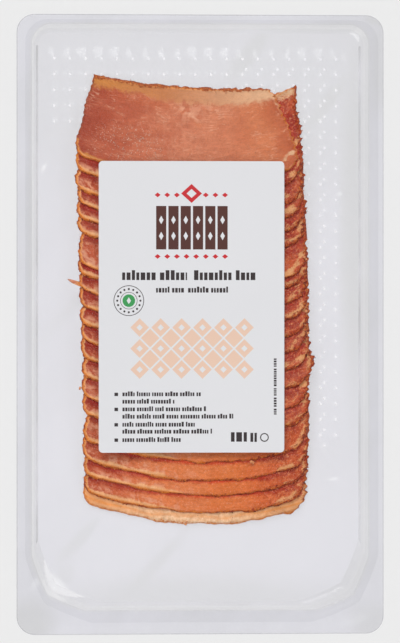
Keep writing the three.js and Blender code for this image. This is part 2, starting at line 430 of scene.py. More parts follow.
def pork_material():
    """Lean, fat, browned rim and spice crust, laid out by the fields that each slice carries."""
    shade = Shade("dried_pork", IOR=1.45, Specular_IOR_Level=PORK_SPECULAR)
    field, mix, step = shade.field, shade.mix, shade.step
    scaled, times = shade.scaled, shade.times
    rim, bare, cover = field("rim"), field("bare"), field("cover")
    fat, crust = field("fat"), field("crust")
    across, first = field("across"), field("first")
    x = shade.part(shade.place, 0)
    meat = shade.signal("ShaderNodeCombineXYZ", x, field("bowed"), field("seed"))
    along = times(meat, (0.24, 1.0, 1.0))

    # Textures that follow the meat, from fine to wide, and fibres that run across the slice
    fine = step(shade.noise(0.5, 2, vector=meat), 0.3, 0.7)
    grain = step(shade.noise(1.2, 3, 0.6, 0.3, meat), 0.3, 0.7)
    blotch = step(shade.noise(3.6, 3, 0.55, 0.8, meat), 0.32, 0.68)
    patch = step(shade.noise(9.0, 2, vector=meat), 0.3, 0.7)
    fibre = step(shade.noise(0.8, 4, 0.6, 0.8, along), 0.3, 0.7)
    streak = step(shade.noise(2.4, 3, 0.6, 1.5, along), 0.3, 0.7)
    strand = shade.math("ABSOLUTE", shade.noise(2.6, 2, 0.5, 1.6, along) - 0.5)
    strand = (1 - step(strand, 0.004, 0.02)) * step(patch + blotch, 0.8, 1.4)

    # Lean: a painted shade of deeper red beside the slice above, a painted sheen, fibres, speckles and
    # painted glints
    strips = shade.ramp(across, [
        (0.02, 176, 74, 44), (0.14, 190, 90, 54), (0.30, 211, 116, 66),
        (0.50, 210, 114, 62), (0.68, 211, 112, 56), (0.85, 200, 96, 50),
        (1.00, 176, 70, 36),
    ])
    top = shade.ramp(across, [
        (0.02, 156, 66, 46), (0.12, 170, 79, 54), (0.30, 183, 96, 67),
        (0.50, 190, 110, 80), (0.70, 195, 115, 82), (0.88, 194, 113, 76),
        (1.00, 172, 84, 50),
    ])
    painted_shade_red = shade.ramp(across, [
        (0.0, 138, 28, 16), (0.3, 164, 46, 26), (0.5, 192, 72, 36),
        (0.75, 170, 52, 28), (1.0, 146, 36, 20),
    ])
    # depth is 0 in the painted shade beside the slice above and 1 clear of it
    depth = step(cover + (grain - 0.5) * 0.2 + (blotch - 0.5) * 0.5, 0.15, 1.35)
    lean = mix(depth, painted_shade_red, mix(first, strips, top))
    ruddy = times(lean, (1.0, 0.84, 0.62))
    lean = mix(field("rust"), lean, ruddy)
    lean = mix(blotch * 0.4, lean, times(lean, (0.9, 0.76, 0.68)))
    rosy = times(lean, (1.12, 1.2, 1.24))
    lean = mix(patch * (0.3 + 0.4 * first), lean, rosy)
    lean = mix(fibre * patch * 0.16, lean, srgb(226, 158, 118))
    texture = 0.1 * (fibre - 0.5) + 0.12 * (streak - 0.5)
    texture = texture + 0.16 * (grain - 0.5) + 0.08 * (fine - 0.5)
    lean = scaled(lean, 1.0 + texture * (1 - 0.2 * first))
    lean = mix(strand * (0.06 + 0.3 * first), lean, srgb(236, 184, 152))
    # Painted sheen: a pale pink haze where the sheen field is high
    painted_sheen = field("sheen") * step(grain * 0.3 + streak * 0.4 + blotch, 0.5, 1.4)
    lean = mix(painted_sheen, lean, srgb(220, 156, 124))
    at_right = step(across, 0.74, 0.9) * (1 - first)
    speckle = shade.noise(0.8, 3, 0.7, 0.5, meat)
    lean = mix(at_right * step(speckle, 0.54, 0.66) * 0.6, lean, srgb(222, 142, 92))
    lean = mix(at_right * step(speckle, 0.46, 0.36) * 0.5, lean, srgb(120, 32, 18))
    # Painted light: the lean is made lighter where the slice above casts its shadow
    painted_light_in_shadow = 1 - step(bare, 0.1, 1.1)
    lean = scaled(lean, 1.0 + 0.3 * painted_light_in_shadow)
    # Painted glints: pale specks where the sparkle field is high, standing in for highlights
    dots = shade.math("MAXIMUM", shade.specks(1.0, 0.26, meat) * step(fine, 0.4, 0.7),
                      shade.specks(0.62, 0.34, meat) * step(grain, 0.35, 0.75))
    glint = dots * field("sparkle")
    lean = mix(glint * 0.8, lean, srgb(248, 214, 196))

    # Fat: tan at the rim, cream further in, and a band of its own on the top slice
    tan = mix(step(rim, 0.3, 1.3), srgb(226, 130, 48), srgb(226, 148, 84))
    cream = mix(grain, srgb(218, 164, 120), srgb(238, 198, 160))
    fat_colour = mix(field("pale"), tan, cream)
    fat_colour = scaled(fat_colour, 0.82 + 0.1 * fine + 0.08 * streak + 0.16 * blotch)
    fat_colour = scaled(fat_colour, 1.0 - at_right * 0.16)
    band = shade.ramp(across, [
        (0.0, 199, 127, 61), (0.4, 191, 121, 76), (0.65, 202, 142, 104),
        (0.95, 216, 168, 130),
    ])
    band = scaled(band, 0.86 + 0.1 * streak + 0.1 * blotch + 0.06 * fine)
    fat_colour = mix(first * step(rim, 0.6, 1.6), fat_colour, band)
    in_fat = fat + (grain - 0.5) * 0.25 + (blotch - 0.5) * 0.4 + (fine - 0.5) * at_right * 0.6
    in_fat = step(in_fat, -0.55, 0.45)
    colour = mix(in_fat, lean, fat_colour)

    # Browned rim, spice crust and a dark line along the very edge
    browned = 1 - step(rim + (grain - 0.5) * 0.7 + (fine - 0.5) * 0.4, 0.2, 0.75)
    brown = mix(fine, srgb(200, 92, 28), srgb(232, 146, 60))
    colour = mix(browned * 0.85, colour, brown)

    in_crust = step(crust + (grain - 0.5) * 1.2 + (fine - 0.5) * 0.6, -0.4, 0.4)
    mottle = shade.ramp(shade.noise(0.9, 3, 0.7, 0.4, meat), [
        (0.30, 96, 26, 15), (0.42, 144, 42, 22), (0.52, 178, 66, 32),
        (0.61, 206, 104, 46), (0.70, 226, 148, 74), (0.80, 230, 176, 120),
    ])
    mottle = mix(first * 0.3, mottle, srgb(200, 124, 64))
    colour = mix(in_crust * 0.9, colour, mottle)
    outline = 1 - step(rim + (fine - 0.5) * 0.3, 0.05, 0.3)
    outline = outline * (0.15 + in_crust * 0.85) * step(grain, 0.2, 0.8, 0.0, 0.6)
    colour = mix(outline, colour, srgb(110, 40, 20))

    shade.set("Base Color", colour)
    shade.set("Roughness", 0.24 + 0.16 * grain + in_crust * 0.2)
    shade.bump(fibre * 0.15 + grain * 0.5 + in_crust * fine * 1.2 + glint, PORK_RELIEF)
    return shade.material


def grain_material(name, dark, light, roughness):
    shade = Shade(name, Roughness=roughness, Specular_IOR_Level=MATT_SPECULAR)
    shade.set("Base Color", shade.mix(shade.noise(0.5, 2), srgb(*dark), srgb(*light)))
    shade.bump(shade.noise(0.25, 2), 0.08)
    return shade.material


def plastic_material(name, dark, light, alpha, roughness, painted_marks=(), right=0.45):
    """Clear sheet: mostly see-through, with a veil of colour that varies softly in slanted streaks of
    painted reflection, a painted shade that darkens it to the right by the share of that name (to the
    left where it is below 0), and the given painted marks."""
    shade = Shade(name, Alpha=alpha, IOR=1.5)
    # The veil's noise is stretched along slanted streaks of painted reflection
    turn = shade.node("ShaderNodeVectorRotate", shade.place, rotation_type="Z_AXIS")
    turn.inputs["Angle"].default_value = -STREAK_TURN
    slanted = shade.times(Signal(shade, turn.outputs[0]), VEIL_STRETCH)
    wide = shade.noise(VEIL_SIZE, 2, 0.5, 0.4, slanted)
    fine = shade.noise(4, 3)
    # Painted shade: the veil darkens to the right
    painted_shade_rightwards = shade.step(shade.part(shade.place, 0), *PAINTED_SHADE_FROM_TO)
    tone = shade.step(wide, 0.35, 0.65) * 0.6 + fine * 0.4 - painted_shade_rightwards * right
    colour = shade.mix(tone, srgb(*dark), srgb(*light))
    # Each mark paints shade, a reflection band or a highlight into the veil
    for x, y, half_length, half_width, angle, share, tint in painted_marks:
        near = shade.node("ShaderNodeMapping", shade.place, vector_type="TEXTURE")
        near.inputs["Location"].default_value = (x, y, 0)
        near.inputs["Rotation"].default_value = (0, 0, math.radians(angle))
        near.inputs["Scale"].default_value = (half_length, half_width, 1000)
        away = shade.signal("ShaderNodeVectorMath", Signal(shade, near.outputs[0]),
                            output="Value", operation="LENGTH")
        colour = shade.mix(shade.step(away, 0.35, 1.0, share, 0.0), colour, tint)
    shade.set("Base Color", colour)
    shade.set("Roughness", shade.step(fine, 0.3, 0.7, roughness * 0.8, roughness * 1.25))
    shade.bump(shade.noise(9, 2), 0.05)
    return shade.material


def paper_material(name, colour):
    shade = Shade(name, Specular_IOR_Level=MATT_SPECULAR)
    wide, fine = shade.noise(30, 2), shade.noise(0.35, 3)
    darker = [c * 0.975 for c in colour]
    shade.set("Base Color", shade.mix(wide * 0.6 + fine * 0.4, srgb(*darker), srgb(*colour)))
    shade.set("Roughness", shade.step(fine, 0.3, 0.7, *PAPER_ROUGHNESS))
    shade.bump(fine + wide * 2, 0.02)
    return shade.material


# ---- Tray ----

CORNER_STEPS = 24
SIDE_STEPS = (16, 28)
FILLET_RINGS = 7
WALL_RING_SHARES = (0.3, 0.65)
EDGE_RINGS = 6
EDGE_ROUND = 0.45
EDGE_INSET = 0.04
LIP_RINGS = 5
LIP_ROUND = 0.25
SHADED_FOOT_TO = 30  # degrees up the fillet
# Two corners carry a painted highlight, reaching so far along the foot and up the wall
GLEAM_CORNERS = {"lower_left": 3, "upper_right": 1}
GLEAM_REACH = {"foot": 8, "wall": 5}
STREAK_TURN = math.radians(47)
# Tints of the painted marks: DUSKY and GREY for painted shade and painted reflection bands, BRIGHT for
# painted highlights
DUSKY = srgb(62, 60, 80)
GREY = srgb(30, 30, 36)
BRIGHT = (1.6, 1.6, 1.65, 1)
# Painted marks: x, y, half of the length and of the width, angle in degrees, strength and tint
FLOOR_PAINTED_LIGHT = [
    (-15, -85, 20, 3.2, 47, 0.42, DUSKY), (-43, -77, 15, 3.2, 47, 0.42, DUSKY),
    (18, 96, 17, 4.4, 52, 0.6, DUSKY), (46, 79, 15, 3.4, 52, 0.6, DUSKY),
    (-49, 2, 13, 3.2, 50, 0.2, DUSKY), (0, -99, 70, 14, 0, 0.5, DUSKY),
    (-50, -92, 12, 5, 50, 0.35, DUSKY), (0, 92, 150, 62, 0, 0.38, DUSKY),
    (56, 34, 84, 7.5, 90, 0.75, DUSKY), (33, 30, 70, 10, 80, 0.2, DUSKY),
    (-55, 55.6, 2.4, 0.9, 60, 0.5, BRIGHT), (50.3, 46.4, 1.4, 1.0, 20, 0.4, BRIGHT),
    (48.4, -55, 2.6, 0.8, 15, 0.4, BRIGHT), (-49.5, -93.7, 9, 3.4, 130, 0.45, BRIGHT),
]
FLANGE_PAINTED_LIGHT = [
    (-62, -107, 16, 12, 45, 0.95, GREY), (62, -107, 14, 10, -45, 0.6, GREY),
    (66, 92, 24, 8, 90, 0.7, GREY), (63, 108, 7, 3, 0, 0.9, GREY),
    (-59.5, 10, 130, 3.2, 90, 0.6, GREY), (-58.5, -91.5, 3.5, 1.6, 60, 0.25, BRIGHT),
]
SEAL_BOX = (-62.0, 63.1, -105.3, 107.7)
SEAL_TOP_R = 8.0
SEAL_BOTTOM_R = 23.4
STUD_R = 0.5
STUD_TOP_SHARE = 0.55
STUD_HEIGHT = 0.3
STUD_SIDES = 10
STUD_PITCH = 5.58
STUD_FIRST = (-51.3, 94.4)
STUD_GRID = (19, 25)
STUD_SECOND_SHIFT = (1.4, -3.7)
STUD_SECOND_FROM = 12
STUD_LEFT_ROWS = 5
STUD_LEFT_TO = -40
WELD_GAP = 0.002


def cavity_outline(inset):
    half = CAVITY_HALF_WIDTH - inset
    box = (-half, half, CAVITY_BOTTOM + inset, CAVITY_TOP - inset)
    bottom_r = CAVITY_BOTTOM_R + CORNER_SPREAD * inset
    return rounded_outline(box, CAVITY_TOP_R - inset, bottom_r, CORNER_CUT, CORNER_STEPS, SIDE_STEPS)


def pack_outline(inset):
    box = (-HALF_WIDTH + inset, HALF_WIDTH - inset, -HALF_LENGTH + inset, HALF_LENGTH - inset)
    r = max(PACK_CORNER_R - inset, 1.0)
    return rounded_outline(box, r, r, 0.0, CORNER_STEPS, SIDE_STEPS)


def stud_centres():
    """The floor's small studs: one lattice, and a second one between it on the right."""
    centres = []
    for i in range(STUD_GRID[0]):
        for j in range(STUD_GRID[1]):
            x = STUD_FIRST[0] + STUD_PITCH * i
            y = STUD_FIRST[1] - STUD_PITCH * j
            if j < STUD_LEFT_ROWS or x > STUD_LEFT_TO:
                centres.append((x, y))
            if STUD_SECOND_FROM <= i < STUD_GRID[0] - 1:
                centres.append((x + STUD_SECOND_SHIFT[0], y + STUD_SECOND_SHIFT[1]))
    return centres


def stud_ring(x, y, r):
    turns = np.arange(STUD_SIDES) * 2 * math.pi / STUD_SIDES
    return np.column_stack([x + r * np.cos(turns), y + r * np.sin(turns)])


def tray_profile():
    """Rings of the sheet from the floor's edge over the rim and back under it, as (points, height,
    region) with the region of the band that starts there."""
    rings = []
    fillet = np.radians(np.linspace(0, 90, FILLET_RINGS))
    for a in fillet:
        inset = WALL_DRAFT + FLOOR_FILLET_R * (1 - math.sin(a))
        region = "crease" if math.degrees(a) < SHADED_FOOT_TO - 1 else "fillet"
        rings.append((cavity_outline(inset), WALL + FLOOR_FILLET_R * (1 - math.cos(a)), region))
    for share in WALL_RING_SHARES:
        z = lerp(WALL + FLOOR_FILLET_R, RIM_TOP, share)
        rings.append((cavity_outline(WALL_DRAFT * (1 - share)), z, "wall"))
    for a in np.radians(np.linspace(0, 90, EDGE_RINGS)):
        inset = EDGE_ROUND * (math.cos(a) - 1) + EDGE_INSET
        rings.append((cavity_outline(inset), RIM_TOP - EDGE_ROUND * (1 - math.sin(a)), "edge"))
    rings[-1] = rings[-1][:2] + ("seal",)
    seal = rounded_outline(SEAL_BOX, SEAL_TOP_R, SEAL_BOTTOM_R, CORNER_CUT, CORNER_STEPS, SIDE_STEPS)
    rings.append((seal, RIM_TOP, "margin"))
    for a in np.radians(np.linspace(0, 90, LIP_RINGS)):
        inset = LIP_ROUND * (1 - math.sin(a))
        rings.append((pack_outline(inset), RIM_TOP - LIP_ROUND * (1 - math.cos(a)), "lip"))
    rings.append((pack_outline(0), RIM_TOP - WALL, "under"))
    rings.append((seal, RIM_TOP - WALL, "under"))
    rings.append((cavity_outline(-WALL), RIM_TOP - WALL, "outer_wall"))
    outer_r = FLOOR_FILLET_R + WALL
    for a in fillet[::-1]:
        inset = WALL_DRAFT + FLOOR_FILLET_R - outer_r * math.sin(a)
        rings.append((cavity_outline(inset), outer_r * (1 - math.cos(a)), "outer_wall"))
    return rings


def region_at(rings, band, n):
    """The region of a face of the sheet: two corners carry a painted highlight, more narrowly up the
    wall, and a painted dark line runs along the foot of the long sides."""
    region = rings[band][2]
    per_side = (CORNER_STEPS + SIDE_STEPS[1], CORNER_STEPS + SIDE_STEPS[0])
    starts = [0, per_side[0], sum(per_side), sum(per_side) + per_side[0]]
    for corner in GLEAM_CORNERS.values():
        away = abs(n - starts[corner] - CORNER_STEPS / 2)
        at_foot = region in ("fillet", "crease") and away < GLEAM_REACH["foot"] - band
        if at_foot or region == "wall" and away < GLEAM_REACH["wall"]:
            return "gleam"
    on_long_side = any(
        starts[corner] + CORNER_STEPS <= n < starts[corner] + per_side[0] for corner in (0, 2)
    )
    return "fillet" if region == "crease" and not on_long_side else region


def make_tray(materials):
    regions = list(materials)
    rings = tray_profile()
    count = len(rings[0][0])
    points = [at_height(ring, z) for ring, z, _ in rings]
    faces, bands = ring_faces(count, len(rings))
    slots = [regions.index(region_at(rings, band, n % count)) for n, band in enumerate(bands)]
    total = count * len(rings)
    studs = stud_centres()
    shapes = [stud_ring(x, y, STUD_R) for x, y in studs]
    shapes += [stud_ring(x, y, STUD_R * STUD_TOP_SHARE) for x, y in studs]
    for ring, floor_z, flip in ((0, WALL, False), (len(rings) - 1, 0.0, True)):
        flat, fill, owners = inlaid(rings[ring][0], shapes)
        height = np.full(len(flat), floor_z)
        is_inner = np.zeros(len(flat), bool)
        for face, owner in zip(fill, owners):
            if owner > len(studs):
                is_inner[face] = True
        height[is_inner] += STUD_HEIGHT
        points.append(at_height(flat, height))
        for face, owner in zip(fill, owners):
            face = [v + total for v in face]
            faces.append(face[::-1] if flip else face)
            slots.append(regions.index("stud" if owner else "floor"))
        total += len(flat)
    tray = mesh_object("clear_tray", np.vstack(points), faces, list(materials.values()), slots)
    weld(tray)
    return tray


def weld(piece):
    """Joins points that lie on each other, so that the piece is one closed skin."""
    mesh = bmesh.new()
    mesh.from_mesh(piece.data)
    bmesh.ops.remove_doubles(mesh, verts=mesh.verts, dist=WELD_GAP * MM)
    bmesh.ops.recalc_face_normals(mesh, faces=mesh.faces)
    mesh.to_mesh(piece.data)
    mesh.free()


# ---- Film ----

FILM_INSETS = [0, 0.1, 0.6, 2, 3.5, 5, 6.5, 8, 10, 12.5, 15, 18, 21, 25, 29, 34, 40, 46, 52, 58]
FILM_EDGE_R = 0.05
FILM_SAG = 0.21
FILM_RIPPLE = 0.12
RIPPLE_SIZE = 7
SLACK_FROM_WALL = 9
SLACK_FROM_LABEL = (0.5, 8)


def film_sag(x, y):
    """How far the film hangs below the rim: slack over the cavity, flat under the label."""
    inside = smooth(CAVITY_HALF_WIDTH - np.abs(x), 0, SLACK_FROM_WALL)
    inside = inside * smooth(y - CAVITY_BOTTOM, 0, SLACK_FROM_WALL)
    inside = inside * smooth(CAVITY_TOP - y, 0, SLACK_FROM_WALL)
    beside = np.maximum(LABEL_LOW[0] - x, x - LABEL_HIGH[0])
    beyond = np.maximum(LABEL_LOW[1] - y, y - LABEL_HIGH[1])
    free = smooth(np.maximum(beside, beyond), *SLACK_FROM_LABEL)
    ripple = noise(0.8 * x + 0.6 * y, 0.3 * (0.8 * y - 0.6 * x), RIPPLE_SIZE, 5)
    return inside * free * (FILM_SAG + FILM_RIPPLE * ripple)


def make_film(material):
    rings = [pack_outline(inset) for inset in FILM_INSETS]
    count = len(rings[0])
    flat = np.vstack(rings)
    sag = film_sag(flat[:, 0], flat[:, 1])
    upper = at_height(flat, FILM_TOP - sag)
    lower = at_height(flat, FILM_BOTTOM - sag)
    upper[:count, 2] -= FILM_EDGE_R
    lower[:count, 2] += FILM_EDGE_R
    across, _ = ring_faces(count, len(rings))
    total = len(flat)
    faces = across + [tuple(v + total for v in f[::-1]) for f in across]
    faces += [tuple(range(total - count, total))]
    faces += [tuple(range(2 * total - count, 2 * total))[::-1]]
    faces += [(i, (i + 1) % count, total + (i + 1) % count, total + i) for i in range(count)]
    film = mesh_object("clear_film", np.vstack([upper, lower]), faces, [material])
    weld(film)
    return film


# ---- Slices ----

GRID_WIDTH = 80.0
COLUMN_GAP = 0.62
ROW_GAP = 0.6
STRIP_ROWS_TO = 12.5
EDGE_FINE = [0, 0.12, 0.3, 0.55]
EDGE_R = 0.9
EDGE_DROOP = 0.85
EDGE_RIPPLE = 0.3
EDGE_RIPPLE_REACH = 1.8
FRAY = {"below": 0.16, "below_right": 0.16, "top_slice": 0.1, "left": 0.14, "right": 0.3}
FRAY_ABOVE = 1.3
FRAY_REACH = 0.8
EDGE_THICK_SHARE = 0.12
FLOOR_CLEARANCE = 0.15
SHARED_WAVE = 0.3
MEAT_RELIEF = 0.07
CRUST_RELIEF = 0.16
EDGE_LIFT = 0.1
FAT_ROLL = 0.3
ALL_BARE = 9.0
CORNER_BLEND = 2.5
SECOND_FAT_FROM = 67
LAST_FAT = 4.6


def wobble(seed, t):
    return 0.6 * np.sin(2.1 * t + 2.4 * seed) + 0.4 * np.sin(5.3 * t + 4.1 * seed + 1)


def upper_edge(k):
    return FIRST_UPPER_EDGE - k * UPPER_STEP


def lower_edge(k):
    return FIRST_LOWER_EDGE - sum(SHINGLE_STEPS[:k])


def bow(x):
    d = x - BOW_VERTEX_X
    return np.where(d < 0, BOW_LEFT, BOW_RIGHT) * d * d


def underside(k, x, y):
    """Height of a slice's underside, with a slow wave that all the slices share."""
    beyond = y - bow(x) - upper_edge(LAST)
    fall = RAMP_SLOPE * 0.5 * (beyond + np.hypot(beyond, SLOPE_KNEE))
    wave = SHARED_WAVE * (0.5 + 0.5 * noise(x, y, 11, 3))
    plain = np.maximum(STACK_FLOOR + SLICE_LAYER * (LAST - k) - fall, UNDERSIDE_LOWEST)
    return plain + np.clip(wave, 0, SHARED_WAVE)


def end_line(end, k):
    along = k / LAST
    return lerp(end["first"], end["last"], along) + end["bulge"] * math.sin(math.pi * along)


def crag(seed, up):
    return CRUST_CRAG * (np.sin(2.4 * up + 2.9 * seed) + 0.6 * np.sin(3.9 * up + 1.7 * seed))


def stand_out(loose, k, up):
    """How far a loose part stands out of slice k's end."""
    if k != loose["slice"]:
        return 0.0
    away = np.abs(up - loose["up"]) / loose["reach"]
    return loose["out"] * np.clip(1 - away ** loose["power"], 0, 1)


def rounded_by(reach, up):
    """How far the rounding of a lower corner moves an end in."""
    corner = np.clip(1 - up / reach["upward"], 0, 1)
    return reach["inward"] * (1 - np.sqrt(1 - corner * corner))


def ends_at(k, up, length):
    share = np.clip(up / length, 0, 1)
    lean_right = FIRST_LEAN_RIGHT * share**FIRST_LEAN_POWER if k == 0 else LEAN_RIGHT * share
    waves = END_WAVES * share
    left = end_line(LEFT_END, k) + END_WOBBLE * wobble(k, waves) + LEFT_CRAG_SHARE * crag(k, up)
    right = end_line(RIGHT_END, k) + END_WOBBLE * wobble(k + RIGHT_SEED, waves)
    right = right + crag(k + CRAG_SEED, up)
    left = left + LEAN_LEFT * share + rounded_by(LEFT_CORNER, up) - stand_out(CURL, k, up)
    right = right - lean_right - rounded_by(RIGHT_CORNER, up) + stand_out(LOBE, k, up)
    return left, right


def upper_bend(k, s):
    amount = {0: -FIRST_UPPER_CUT, 1: SECOND_UPPER_RISE}.get(k, 0.0)
    return amount * s**EDGE_BEND_POWER


def slice_rows(k):
    """Distances of a slice's rows from its lower edge: close together where it shows."""
    length = upper_edge(k) - lower_edge(k)
    fine_to = length if k < 2 else STRIP_ROWS_TO
    rows = EDGE_FINE + list(np.arange(EDGE_R, fine_to - 0.8, ROW_GAP))
    if k >= 2:
        rows += list(np.linspace(fine_to, length - 1, 4))
    rows += [length - d for d in EDGE_FINE[::-1]]
    if k == CURL["slice"]:
        rows += list(CURL["up"] + CURL["reach"] * np.linspace(-1.05, 1.05, 16))
    return np.array(sorted(rows))


def slice_columns():
    """Shares of a slice's width, from left to right: close together at both ends."""
    inner = np.linspace(EDGE_R, GRID_WIDTH - EDGE_R, int(GRID_WIDTH / COLUMN_GAP))
    ends = EDGE_FINE + list(inner) + [GRID_WIDTH - d for d in EDGE_FINE[::-1]]
    return np.array(ends) / GRID_WIDTH


def slice_shape(k):
    """A slice seen from above: the places of its rows and columns, and how far each one is from
    the slice's edges."""
    length = upper_edge(k) - lower_edge(k)
    up = slice_rows(k)[:, None]
    left, right = ends_at(k, up, length)
    s = slice_columns()[None, :]
    x = left + (right - left) * s
    share = up / length
    y = lower_edge(k) + up + bow(x) * lerp(1, UPPER_BOW_SHARE, share)
    y = y + EDGE_WOBBLE * wobble(k, EDGE_WAVES * s) * np.clip(1 - up / 0.9, 0, 1)
    y = y + upper_bend(k, s) * np.clip(1 - (length - up) / UPPER_STEP, 0, 1)
    from_left, from_right = x - left, right - x
    curl = stand_out(CURL, k, up)
    inner_left = np.abs(from_left - curl) + 0.3 * (curl > 0)
    down = length - up + 0 * s
    up = up + 0 * s
    ragged = FRAY["below"] + FRAY["below_right"] * smooth(s, 0.45, 0.85)
    ragged = ragged + (FRAY["top_slice"] if k == 0 else 0)
    y = y - ragged * noise(x, y, 1.5, 20 + k, 3) * np.exp(-up / FRAY_REACH)
    y = y - EDGE_RIPPLE * noise(x, y, 5.5, 40 + k) * np.exp(-up / EDGE_RIPPLE_REACH)
    y = y + ragged * FRAY_ABOVE * noise(x, y, 1.3, 50 + k, 3) * np.exp(-down / FRAY_REACH)
    x = x + FRAY["right"] * noise(x, y, 1.2, 80 + k, 3) * np.exp(-from_right / FRAY_REACH)
    x = x + FRAY["left"] * noise(x, y, 1.6, 90 + k, 2) * np.exp(-from_left / FRAY_REACH)
    return {"k": k, "x": x, "y": y, "up": up, "down": down, "s": s + 0 * up, "left": from_left,
            "right": from_right, "inner_left": inner_left, "length": length}


def soft_min(a, b, radius):
    """The smaller of two distances, rounded off where they are alike."""
    h = np.clip(radius - np.abs(a - b), 0, None) / radius
    return np.minimum(a, b) - h * h * radius / 4


def hump(value, centre, reach):
    """1 at the centre, falling softly to 0 at reach from it."""
    return 1 - smooth(np.abs(value - centre) / reach, 0.2, 1)


def near_line(x, y, start, end, reach):
    """1 on a line between two pixels of the photograph, falling softly to 0 at reach from it."""
    a, b = np.array(from_pixel(*start)), np.array(from_pixel(*end))
    along = ((x - a[0]) * (b - a)[0] + (y - a[1]) * (b - a)[1]) / ((b - a) @ (b - a))
    along = np.clip(along, 0, 1)
    away = np.hypot(x - lerp(a[0], b[0], along), y - lerp(a[1], b[1], along))
    return hump(away, 0, reach)


def bare_reach(g):
    """How far a place lies out from under the slice above, in millimetres."""
    k, x, y = g["k"], g["x"], g["y"]
    if k == 0:
        return np.full_like(x, ALL_BARE)
    above = y - bow(x) - lower_edge(k - 1)
    left, right = ends_at(k - 1, np.clip(above, 0, None), g["length"])
    return np.maximum(-above, np.maximum(left - x, x - right))


def top_slice_fields(g, fields, slow):
    """The top slice's own: a fat band along the upper edge, painted sheen and glints, and painted
    highlights on a fold and an edge.
    """
    x, y, s, up, down = (g[name] for name in ("x", "y", "s", "up", "down"))
    rim = fields["rim"] + 0.8 * smooth(up, 5, 8) * (g["left"] < 2)
    fat = np.minimum(fields["fat"], -9 * smooth(up, 6.5, 10))
    fat = np.where(up < 6.5, fields["fat"], fat)
    fat = np.maximum(fat, 0.25 - g["right"])
    band = lerp(4.2, 6.4, smooth(s, 0.15, 0.75)) + 0.9 * slow
    fat = np.maximum(fat, 0.34 * (band - down))
    crust = np.maximum(0.9 + 0.9 * slow - down, 0.2 + 0.3 * slow - g["left"])
    pale = np.where(down < 9, 0.1 + 0.6 * smooth(s, 0.6, 0.95), fields["pale"])
    # Painted glints and painted sheen on the top slice
    sparkle = hump(np.hypot((s - 0.24) / 0.22, (up - 10) / 10), 0, 1.1)
    sheen = 0.4 * hump(s, 0.6, 0.22) * hump(down, 8, 6) + 0.2 * hump(s, 0.45, 0.25)
    # A fold and the right edge drawn as painted highlights, with a painted shade beside the fold
    painted_fold_highlight = near_line(x, y, (184, 107), (200, 121), 1.6)
    painted_fold_shade = near_line(x, y, (182, 109), (201, 124), 1.4) * (1 - painted_fold_highlight)
    edge = near_line(x, y, (277, 98), (284, 111), 1.0)
    edge = edge + near_line(x, y, (284, 111), (297, 136), 0.7)
    under_band = hump(down, band + 2.2, 2.6) * (1 - smooth(s, 0.4, 0.6))
    rust = 0.1 + 0.3 * smooth(s, 0.65, 0.9) + 0.45 * under_band + 0.6 * painted_fold_shade
    return {"rim": rim, "fat": fat, "crust": crust, "pale": pale, "rust": rust,
            "sparkle": sparkle + edge, "sheen": sheen + 0.45 * painted_fold_highlight + 0.7 * edge}


